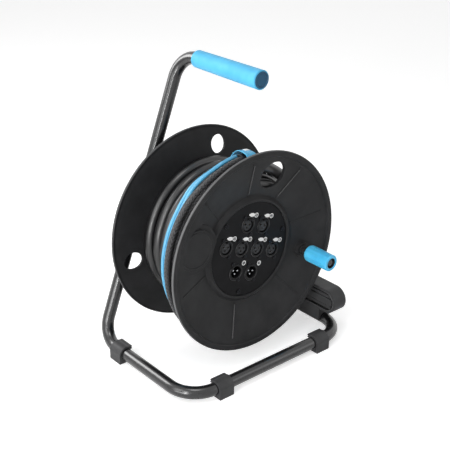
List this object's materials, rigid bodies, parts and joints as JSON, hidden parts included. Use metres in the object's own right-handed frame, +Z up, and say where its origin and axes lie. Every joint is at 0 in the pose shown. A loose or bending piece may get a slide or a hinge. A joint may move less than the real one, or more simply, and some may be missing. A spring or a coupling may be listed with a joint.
{
  "type": "multicore cable drum",
  "caption": "Stage multicore cable wound on a hand-cranked drum with three-pin audio sockets in its front, on a bent tube carrying stand.",
  "frame": {"origin": "middle of the overall box at floor level, under the drum; the drum's axle lies in the plane X = 0 at 181 mm height", "axes": "+Z up; the axle is parallel to Y and the drum's front, with the sockets and the crank, faces -Y; +X is to the right seen from the front"},
  "size_m": [0.3375, 0.2436, 0.454],
  "materials": {
    "tube_black": "gloss black powder coat",
    "blue_rubber": "satin, light blue",
    "teal_plastic": "satin, dark teal",
    "black_plastic": "fine moulded grain",
    "dark_plastic": "satin",
    "bush_plastic": "natural",
    "steel": "zinc plated",
    "dark_steel": "blackened",
    "panel_black": "matt black",
    "socket_black": "satin black",
    "contact_metal": "gilt",
    "pin_metal": "silver plated",
    "blue_plastic": "satin, light blue",
    "cable_black": "smooth satin jacket",
    "braid_black": "braided sleeve",
    "cable_blue": "smooth satin jacket",
    "strap_blue": "woven tape",
    "label_white": "bare woven tag"
  },
  "bodies": {
    "stand": {"frame_tube": "tube_black", "tube_end_plug": "dark_plastic", "handle_grip": "blue_rubber", "grip_end_cap": "teal_plastic", "foot_clips": "black_plastic", "bearing_bracket": "black_plastic", "tube_clamp": "black_plastic", "clamp_screws": "steel", "beam_screws": "steel", "axle": "steel", "axle_washer": "steel", "axle_nut": "steel", "axle_circlip": "dark_steel"},
    "drum": {"front_flange": "black_plastic", "rear_flange": "black_plastic", "drum_barrel": "black_plastic", "flange_screws": "steel", "front_bush": "bush_plastic", "rear_bush": "bush_plastic", "thrust_washer": "steel", "connector_panel": "panel_black", "panel_screws": "dark_steel", "female_sockets": "socket_black", "female_inserts": "dark_plastic", "female_contacts": "contact_metal", "male_sockets": "socket_black", "male_inserts": "dark_plastic", "male_pins": "pin_metal", "socket_screws": "dark_steel", "crank_pin": "steel", "crank_nut": "steel", "knob_washer": "dark_plastic", "knob_screw": "steel", "cable_gland": "dark_plastic", "inner_tail": "cable_black", "wiring_loom": "cable_black", "cable_core": "cable_black", "cable_turns": "cable_black", "breakout_boot": "braid_black", "blue_tails": "cable_blue", "braided_tails": "braid_black", "cable_strap": "strap_blue", "strap_label": "label_white"},
    "crank": {"crank_knob": "blue_plastic"},
    "latch_1": {"latch_tab_1": "dark_steel"},
    "latch_2": {"latch_tab_2": "dark_steel"},
    "latch_3": {"latch_tab_3": "dark_steel"},
    "latch_4": {"latch_tab_4": "dark_steel"},
    "latch_5": {"latch_tab_5": "dark_steel"},
    "latch_6": {"latch_tab_6": "dark_steel"}
  },
  "joints": [
    {"name": "drum_spin", "type": "hinge", "parent": "stand", "child": "drum", "pos_m": [0, 0.02885, 0.181], "axis": [0, 1, 0], "continuous": true},
    {"name": "crank_spin", "type": "hinge", "parent": "drum", "child": "crank", "pos_m": [0.10382, -0.09115, 0.15123], "axis": [0, 1, 0], "continuous": true},
    {"name": "latch_1_press", "type": "slide", "parent": "drum", "child": "latch_1", "axis": [0, 1, 0], "range_m": [0, 0.0015], "stiffness_N_per_m": 600, "springref_m": -0.001},
    {"name": "latch_2_press", "type": "slide", "parent": "drum", "child": "latch_2", "axis": [0, 1, 0], "range_m": [0, 0.0015], "stiffness_N_per_m": 600, "springref_m": -0.001},
    {"name": "latch_3_press", "type": "slide", "parent": "drum", "child": "latch_3", "axis": [0, 1, 0], "range_m": [0, 0.0015], "stiffness_N_per_m": 600, "springref_m": -0.001},
    {"name": "latch_4_press", "type": "slide", "parent": "drum", "child": "latch_4", "axis": [0, 1, 0], "range_m": [0, 0.0015], "stiffness_N_per_m": 600, "springref_m": -0.001},
    {"name": "latch_5_press", "type": "slide", "parent": "drum", "child": "latch_5", "axis": [0, 1, 0], "range_m": [0, 0.0015], "stiffness_N_per_m": 600, "springref_m": -0.001},
    {"name": "latch_6_press", "type": "slide", "parent": "drum", "child": "latch_6", "axis": [0, 1, 0], "range_m": [0, 0.0015], "stiffness_N_per_m": 600, "springref_m": -0.001}
  ]
}
